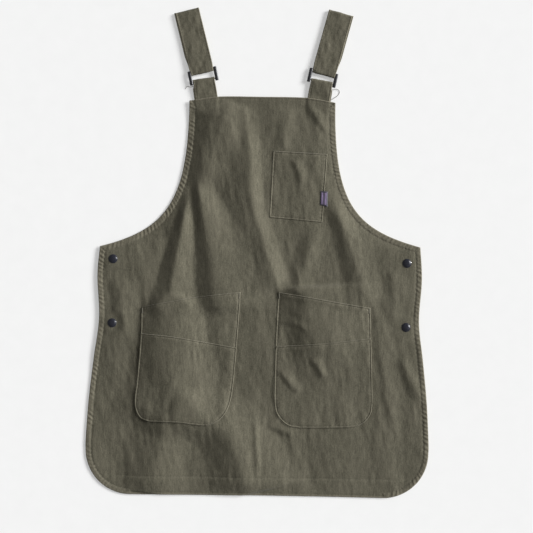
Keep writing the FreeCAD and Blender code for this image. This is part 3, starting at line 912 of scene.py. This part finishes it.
def turned(name, profile, segments=48):
    bpy.ops.object.select_all(action="DESELECT")
    radius, height = profile[0]
    bpy.ops.mesh.primitive_circle_add(vertices=segments, radius=radius * MM,
                                      location=(0, 0, height * MM))
    piece = bpy.context.object
    piece.name = name
    bpy.ops.object.transform_apply(location=True, rotation=False, scale=False)
    bpy.ops.object.mode_set(mode="EDIT")
    bpy.ops.mesh.select_all(action="SELECT")
    for (r0, z0), (r1, z1) in zip(profile, profile[1:]):
        bpy.ops.mesh.extrude_region_move(TRANSFORM_OT_translate={"value": (0, 0, (z1 - z0) * MM)})
        bpy.ops.transform.resize(value=(r1 / r0, r1 / r0, 1), center_override=(0, 0, z1 * MM))
    bpy.ops.mesh.merge(type="CENTER")
    bpy.ops.mesh.select_all(action="DESELECT")
    bpy.ops.mesh.select_non_manifold()
    bpy.ops.mesh.edge_face_add()
    bpy.ops.mesh.select_all(action="SELECT")
    bpy.ops.mesh.normals_make_consistent(inside=False)
    bpy.ops.object.mode_set(mode="OBJECT")
    return piece


cap_master = turned("cap_master", CAP_PROFILE)
caps = []
for row in ("upper", "lower"):
    for name, side in SIDES:
        node = "snap_cap_%s_%s" % (row, name)
        low, high = (Vector(c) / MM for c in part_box(node))
        place = Matrix.Translation(((low.x + high.x) / 2 * MM, (low.y + high.y) / 2 * MM,
                                    (TOP_LIFTED + 0.15) * MM))
        cap = placed_copy(cap_master, "cap_%s_%s" % (row, name), place)
        bpy.ops.object.shade_smooth_by_angle(angle=math.radians(50))
        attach(cap, "front")
        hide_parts(node)
        caps.append(cap)
bpy.data.objects.remove(cap_master)
print("caps", len(caps))


# %% [markdown]
# ## Woven label
# The label is a folded scrap of woven tape caught in the chest pocket's right seam. It carries
# no lettering: a dark woven border and a dark middle stripe on a violet field.

# %% Label
LABEL_BORDER = 2.1
LABEL_MIDDLE = 103.6
LABEL_BEND = 107.8
LABEL = [(97.6, 102.7), (110.2, 101.4), (109.9, 76.6), (97.0, 78.9)]
label_outline = Outline([[LABEL[i], LABEL[(i + 1) % 4]] for i in range(4)])


def label_surface(x, y, inward, along, part):
    z = cloth_height(x, y) + LAYER_STEP + 1.0 + 0.25 * ease(inward / 1.2)
    z = z - 1.5 * ease((x - LABEL_BEND) / 3.0) * (x > LABEL_BEND)
    middle = LABEL_MIDDLE + 0.02 * (y - 90)
    return z, ease((inward - LABEL_BORDER) / 0.8) * (1 - 0.95 * bump(x, middle, 1.9))


label = make_sheet("label_tape", label_outline, label_surface, 0.5, step=0.9, rings=(0.5, 1.2, 2.0),
                   pitch=0.9)
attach(label, "front")
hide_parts("woven_label")


# %% [markdown]
# ## Stitching
# Every seam is a run of separate stitches, each a grain of thread about two millimetres long.
# They are modelled, because a seam is what the eye reads first on workwear. One small shape is
# repeated along the lines that the sheets give.

# %% Stitches
STITCH_PITCH = 3.0
STITCH_LENGTH = 2.2
STITCH_WIDE = 0.42
SECOND_ROW = 3.2


def seam_line(outline, surface, parts, inset):
    """A line on a sheet's face, a distance in from some of its stretches."""
    lines = []
    for number in parts:
        curve = walk(outline.stretches[number], 1.0)
        tangent = np.gradient(curve, axis=0)
        tangent /= np.hypot(*tangent.T)[:, None]
        spot = curve + inset * np.stack([tangent[:, 1], -tangent[:, 0]], 1)
        inward, along, part = outline.measure(*spot.T)
        keep = inward > inset - 0.3
        spot = spot[keep]
        z = surface(*spot.T, np.maximum(inward[keep], 0), along[keep], part[keep])[0]
        lines.append(np.column_stack([spot, z]))
    return lines


def stitches(name, lines, body, pitch=STITCH_PITCH, length=STITCH_LENGTH, blend=None):
    points, faces = [], []
    for line in lines:
        run = np.concatenate([[0], np.cumsum(np.linalg.norm(np.diff(line, axis=0), axis=1))])
        for start in np.arange(pitch / 2, run[-1] - length, pitch):
            ends = [np.array([np.interp(at, run, line[:, k]) for k in range(3)])
                    for at in (start, start + length * 0.22, start + length * 0.78, start + length)]
            ahead = ends[3] - ends[0]
            ahead = ahead / np.linalg.norm(ahead)
            across = np.cross((0, 0, 1.0), ahead)
            across = across / max(np.linalg.norm(across), 1e-6) * STITCH_WIDE / 2
            up = np.cross(ahead, across)
            base = len(points)
            points.append(ends[0] - up * 0.4)
            for middle in (ends[1], ends[2]):
                points += [middle + across, middle + up, middle - across, middle - up]
            points.append(ends[3] - up * 0.4)
            for k in range(4):
                n = (k + 1) % 4
                faces += [(base, base + 1 + n, base + 1 + k),
                          (base + 1 + k, base + 1 + n, base + 5 + n, base + 5 + k),
                          (base + 9, base + 5 + k, base + 5 + n)]
    piece = new_piece(name, points, faces)
    if blend:
        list(blend[0])
        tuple(blend[1])
        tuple(blend[2])
        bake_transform(piece)
    else:
        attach(piece, body)
    print(name, len(points) // 10, "stitches")
    return piece


panel_lines = seam_line(panel_outline, panel_surface, [0], HEM_WIDTH["top"])
panel_lines += seam_line(panel_outline, panel_surface, [1, 7], HEM_WIDTH["armhole"])
panel_lines += seam_line(panel_outline, panel_surface, [2, 3, 5, 6], HEM_WIDTH["side"])
foot_x = np.arange(-230, 230, 2.0)
foot_y = np.full(len(foot_x), HEM_Y + FOOT_HEM)
foot_in, foot_along, foot_part = panel_outline.measure(foot_x, foot_y)
foot_z = panel_surface(foot_x, foot_y, foot_in, foot_along, foot_part)[0]
panel_lines.append(np.column_stack([foot_x, foot_y, foot_z]))
sewing = [stitches("stitching_panel", panel_lines, "front")]
for number, (name, outline, layer, mouth_lift, node) in enumerate(POCKETS):
    surface = pocket_surface(outline, layer, mouth_lift, 40 + 7 * number)
    lines = seam_line(outline, surface, range(len(outline.stretches)), SEAM_IN)
    if name == "pocket_chest":
        lines += seam_line(outline, surface, [1], SEAM_IN + SECOND_ROW)
    sewing.append(stitches("stitching_" + name, lines, "front"))
for seams, name, side in strap_seams:
    visible = [line + (0, 0, 0.1) for line in seams]
    if side:
        way = (("front", "slider_" + name), on_strap(44, side, STRAP_LEAN, 6),
               on_strap(12, side, STRAP_LEAN, 6))
        sewing.append(stitches("stitching_strap_" + name, visible, "front", blend=way))
    else:
        sewing.append(stitches("stitching_tab_" + name, visible, "front"))
band_lines = seam_line(back_band_edge, band_surface, range(8), BAND_HEM)
sewing.append(stitches("stitching_band", band_lines, "back"))


# %% [markdown]
# ## Bar tacks and a thread tail
# The upper corners of both hip pockets are held by bar tacks, dense little blocks of thread. A
# thread tail about 15 mm long has worked loose beside the left tab. It is a tube swept through
# a few points.

# %% Bar tacks and thread tail
BAR_TACKS = [(-192.4, -99.0, 3), (-33.4, -72.5, -2), (30.0 + 2.6, -71.5, 2), (181.0, -94.0, -2)]
for number, (x, y, lean) in enumerate(BAR_TACKS):
    low = cloth_height(np.array([x]), np.array([y]))[0] + LAYER_STEP + 0.45
    block = bevelled_bar(0, 0, 1.9, 9.0, 1.1, 0.45)
    place = (Matrix.Translation((x * MM, y * MM, low * MM))
             @ Matrix.Rotation(math.radians(lean), 4, "Z"))
    tack = placed_copy(block, "bar_tack_%d" % (number + 1), place)
    bpy.data.objects.remove(block)
    bpy.ops.object.shade_smooth_by_angle(angle=math.radians(40))
    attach(tack, "front")
    sewing.append(tack)

TAIL = smooth([(-113.6, 271.8, 2.1), (-119.5, 270.9, 1.6), (-124.8, 271.8, 1.2), (-127.6, 267.4, 0.7)], 8)
TAIL_WIDE = 0.42
rings = []
for number, spot in enumerate(TAIL):
    ahead = TAIL[min(number + 1, len(TAIL) - 1)] - TAIL[max(number - 1, 0)]
    ahead = ahead / np.linalg.norm(ahead)
    across = np.cross(ahead, (0, 0, 1.0))
    across = across / np.linalg.norm(across)
    up = np.cross(across, ahead)
    around = np.radians(np.arange(0, 360, 60))[:, None]
    rings.append(spot + TAIL_WIDE * (np.cos(around) * across + np.sin(around) * up))
faces = [(6 * i + k, 6 * i + (k + 1) % 6, 6 * i + 6 + (k + 1) % 6, 6 * i + 6 + k)
         for i in range(len(TAIL) - 1) for k in range(6)]
faces += [tuple(range(5, -1, -1)), tuple(6 * (len(TAIL) - 1) + k for k in range(6))]
thread_tail = new_piece("thread_tail", np.concatenate(rings), faces)
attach(thread_tail, "front")
print("bar tacks", len(BAR_TACKS), "and a tail of", len(TAIL), "rings")


# %% [markdown]
# ## Finishes
# Washed canvas is a plain weave of uneven yarns. Seen from arm's length, the yarns make fine
# streaks that run down the cloth, with softer patches where dye washed out, and paler edges
# where hems rubbed. One node group gives that colour, roughness and relief to the panel and to
# the straps, which only differ in which way the yarn runs.

# %% Node helpers
def add(tree, kind, **values):
    """A new node, with its settings or its named input values."""
    node = tree.nodes.new(kind)
    for name, value in values.items():
        if hasattr(node, name):
            setattr(node, name, value)
        else:
            node.inputs[name.replace("_", " ")].default_value = value
    return node


def noise(tree, vector, scale, detail, stretch, roughness=0.55):
    """A noise texture whose pattern is stretched by a mapping."""
    mapping = add(tree, "ShaderNodeMapping")
    mapping.inputs["Scale"].default_value = stretch
    texture = add(tree, "ShaderNodeTexNoise")
    texture.inputs["Scale"].default_value = scale
    texture.inputs["Detail"].default_value = detail
    texture.inputs["Roughness"].default_value = roughness
    tree.links.new(vector, mapping.inputs["Vector"])
    tree.links.new(mapping.outputs["Vector"], texture.inputs["Vector"])
    return texture.outputs["Fac"]


def ranged(tree, value, low, high, to_low=0.0, to_high=1.0):
    node = add(tree, "ShaderNodeMapRange")
    node.inputs["From Min"].default_value = low
    node.inputs["From Max"].default_value = high
    node.inputs["To Min"].default_value = to_low
    node.inputs["To Max"].default_value = to_high
    tree.links.new(value, node.inputs["Value"])
    return node.outputs["Result"]


def math_node(tree, operation, a, b):
    node = add(tree, "ShaderNodeMath", operation=operation)
    for socket, value in zip(node.inputs, (a, b)):
        if isinstance(value, (int, float)):
            socket.default_value = value
        else:
            tree.links.new(value, socket)
    return node.outputs[0]


def mixed(tree, share, a, b):
    node = add(tree, "ShaderNodeMix", data_type="RGBA")
    for socket, value in zip((node.inputs["Factor"], node.inputs[6], node.inputs[7]), (share, a, b)):
        if isinstance(value, (int, float, tuple)):
            socket.default_value = value
        else:
            tree.links.new(value, socket)
    return node.outputs[2]


# %% Canvas group
def canvas_group():
    group = bpy.data.node_groups.new("washed canvas", "ShaderNodeTree")
    for name, kind in (("Vector", "NodeSocketVector"), ("Wear", "NodeSocketFloat"),
                       ("Body", "NodeSocketColor"), ("Deep", "NodeSocketColor"),
                       ("Rubbed", "NodeSocketColor")):
        group.interface.new_socket(name=name, in_out="INPUT", socket_type=kind)
    for name, kind in (("Color", "NodeSocketColor"), ("Roughness", "NodeSocketFloat"),
                       ("Height", "NodeSocketFloat")):
        group.interface.new_socket(name=name, in_out="OUTPUT", socket_type=kind)
    start = add(group, "NodeGroupInput")
    end = add(group, "NodeGroupOutput")
    vector = start.outputs["Vector"]
    yarn = noise(group, vector, 1.0, 4, (1100, 380, 1100), 0.65)
    slub = noise(group, vector, 1.0, 3, (420, 75, 420), 0.6)
    weft = noise(group, vector, 1.0, 3, (260, 1000, 260), 0.6)
    patch = noise(group, vector, 1.0, 3, (26, 14, 26), 0.6)
    streak = math_node(group, "ADD", math_node(group, "MULTIPLY", yarn, 0.5),
                       math_node(group, "MULTIPLY", slub, 0.35))
    streak = math_node(group, "ADD", streak, math_node(group, "MULTIPLY", weft, 0.15))
    tone = ranged(group, streak, 0.38, 0.62)
    colour = mixed(group, tone, start.outputs["Deep"], start.outputs["Body"])
    faded = math_node(group, "MULTIPLY", ranged(group, patch, 0.42, 0.75), 0.22)
    colour = mixed(group, faded, colour, start.outputs["Rubbed"])
    rub = math_node(group, "MULTIPLY", start.outputs["Wear"], ranged(group, streak, 0.3, 0.6, 0.3, 0.8))
    colour = mixed(group, rub, colour, start.outputs["Rubbed"])
    group.links.new(colour, end.inputs["Color"])
    group.links.new(ranged(group, streak, 0.3, 0.7, 0.95, 0.82), end.inputs["Roughness"])
    group.links.new(streak, end.inputs["Height"])
    return group


CANVAS_GROUP = canvas_group()
CANVAS_BODY = (0.126, 0.117, 0.084, 1)
CANVAS_DEEP = (0.060, 0.056, 0.039, 1)
CANVAS_RUBBED = (0.172, 0.156, 0.116, 1)


def bsdf(name):
    material = bpy.data.materials.new(name)
    material.use_nodes = True
    return material, material.node_tree, material.node_tree.nodes["Principled BSDF"]


def relief(tree, height, distance, strength, shader):
    node = add(tree, "ShaderNodeBump")
    node.inputs["Distance"].default_value = distance
    node.inputs["Strength"].default_value = strength
    tree.links.new(height, node.inputs["Height"])
    tree.links.new(node.outputs["Normal"], shader.inputs["Normal"])


def canvas_material(name, follow_strip):
    """Washed canvas whose yarns run down the apron, or along a strip's own length."""
    material, tree, shader = bsdf(name)
    if follow_strip:
        vector = add(tree, "ShaderNodeUVMap", uv_map="grain").outputs["UV"]
    else:
        vector = add(tree, "ShaderNodeTexCoord").outputs["Object"]
    wear = add(tree, "ShaderNodeAttribute", attribute_name="wear")
    group = add(tree, "ShaderNodeGroup")
    group.node_tree = CANVAS_GROUP
    tree.links.new(vector, group.inputs["Vector"])
    tree.links.new(wear.outputs["Fac"], group.inputs["Wear"])
    group.inputs["Body"].default_value = CANVAS_BODY
    group.inputs["Deep"].default_value = CANVAS_DEEP
    group.inputs["Rubbed"].default_value = CANVAS_RUBBED
    tree.links.new(group.outputs["Color"], shader.inputs["Base Color"])
    tree.links.new(group.outputs["Roughness"], shader.inputs["Roughness"])
    relief(tree, group.outputs["Height"], 0.0006, 0.8, shader)
    shader.inputs["Specular IOR Level"].default_value = 0.15
    shader.inputs["Sheen Weight"].default_value = 0.12
    shader.inputs["Sheen Roughness"].default_value = 0.5
    return material


def simple_material(name, colour_low, colour_high, scale, rough, metallic=0.0, coat=0.0, bump_by=0.0):
    """A finish whose colour and roughness vary with a fine noise."""
    material, tree, shader = bsdf(name)
    vector = add(tree, "ShaderNodeTexCoord").outputs["Object"]
    grain = noise(tree, vector, scale, 3, (1, 1, 1))
    tree.links.new(mixed(tree, ranged(tree, grain, 0.3, 0.7), colour_low, colour_high),
                   shader.inputs["Base Color"])
    tree.links.new(ranged(tree, grain, 0.3, 0.7, rough[0], rough[1]), shader.inputs["Roughness"])
    shader.inputs["Metallic"].default_value = metallic
    shader.inputs["Coat Weight"].default_value = coat
    if bump_by:
        relief(tree, grain, bump_by, 0.4, shader)
    return material


def label_material():
    """Woven tape: a dark border, a violet field and fine cross ribs."""
    material, tree, shader = bsdf("woven tape")
    inward = add(tree, "ShaderNodeAttribute", attribute_name="wear").outputs["Fac"]
    vector = add(tree, "ShaderNodeTexCoord").outputs["Object"]
    ribs = noise(tree, vector, 1.0, 2, (1200, 2600, 1200))
    ribbed = ranged(tree, ribs, 0.3, 0.7)
    field = mixed(tree, ribbed, (0.17, 0.125, 0.235, 1), (0.32, 0.245, 0.41, 1))
    border = mixed(tree, ribbed, (0.016, 0.015, 0.024, 1), (0.04, 0.036, 0.052, 1))
    colour = mixed(tree, inward, border, field)
    tree.links.new(colour, shader.inputs["Base Color"])
    relief(tree, ribs, 0.0003, 0.6, shader)
    shader.inputs["Roughness"].default_value = 0.75
    return material


# %% Give every piece its finish
def dress(piece, material):
    piece.data.materials.clear()
    piece.data.materials.append(material)


down_cloth = canvas_material("washed canvas, down the cloth", False)
along_strip = canvas_material("washed canvas, along the strip", True)
for piece in CANVAS_PIECES:
    dress(piece, along_strip if piece.name.startswith(("strap_", "tab_")) else down_cloth)
slider_enamel = simple_material("slider enamel", (0.008, 0.008, 0.010, 1), (0.02, 0.02, 0.023, 1),
                                900, (0.34, 0.5), coat=0.12, bump_by=0.00005)
cap_enamel = simple_material("cap enamel", (0.006, 0.007, 0.012, 1), (0.016, 0.017, 0.026, 1),
                             700, (0.24, 0.38), coat=0.35)
pressed_steel = simple_material("pressed steel", (0.36, 0.36, 0.37, 1), (0.5, 0.5, 0.52, 1),
                                1500, (0.28, 0.45), metallic=1.0, bump_by=0.00004)
sewing_thread = simple_material("sewing thread", (0.05, 0.047, 0.034, 1), (0.095, 0.088, 0.064, 1),
                                1800, (0.7, 0.9), bump_by=0.0001)
grey_thread = simple_material("grey thread", (0.09, 0.085, 0.08, 1), (0.2, 0.19, 0.18, 1),
                              1800, (0.6, 0.8))
for piece in sliders:
    dress(piece, slider_enamel)
for piece in caps:
    dress(piece, cap_enamel)
for piece in sewing:
    dress(piece, sewing_thread)
dress(thread_loop, grey_thread)
dress(thread_tail, grey_thread)
dress(label, label_material())
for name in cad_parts:
    if name.startswith(("snap_socket", "snap_stud", "snap_post")):
        dress(bpy.data.objects[name], pressed_steel)
print("finishes", sorted(material.name for material in bpy.data.materials))


# %% [markdown]
# ## Table and light
# A pale, even table and two lights from the right, with soft light from all round. The key
# light stands higher and lays a soft shadow to the left of the apron. The skimming light comes
# in almost level and casts no shadow: it brightens the slopes that face right and leaves the
# others dark, which is what shows the folds.

# %% Table and light
TABLE_SIZE = 60
bpy.ops.object.select_all(action="DESELECT")
bpy.ops.mesh.primitive_plane_add(size=TABLE_SIZE, location=(0, 0, 0))
table = bpy.context.object
table.name = "table"
pale_table = simple_material("pale table", (0.875, 0.877, 0.875, 1), (0.89, 0.892, 0.89, 1), 40,
                             (0.8, 0.9))
dress(table, pale_table)


def sun(name, azimuth, elevation, strength, softness, shadow=True):
    """A lamp as far off as the sun, placed by its compass angle and its height in degrees."""
    light = bpy.data.lights.new(name, "SUN")
    light.use_shadow = shadow
    light.energy = strength
    light.angle = math.radians(softness)
    thing = bpy.data.objects.new(name, light)
    bpy.context.collection.objects.link(thing)
    thing.rotation_euler = (0, math.radians(90 - elevation), math.radians(azimuth))


sun("key light", 20, 33, 2.55, 26)
sun("skimming light", 14, 10, 6.9, 8, shadow=False)
world = bpy.data.worlds.new("studio")
bpy.context.scene.world = world
world.use_nodes = True
world.node_tree.nodes["Background"].inputs["Color"].default_value = (1.0, 1.0, 1.0, 1)
world.node_tree.nodes["Background"].inputs["Strength"].default_value = 0.2
bpy.context.scene.view_settings.view_transform = "Standard"
print("lights", sorted(light.name for light in bpy.data.lights))


# %% Last update
bpy.context.view_layer.update()
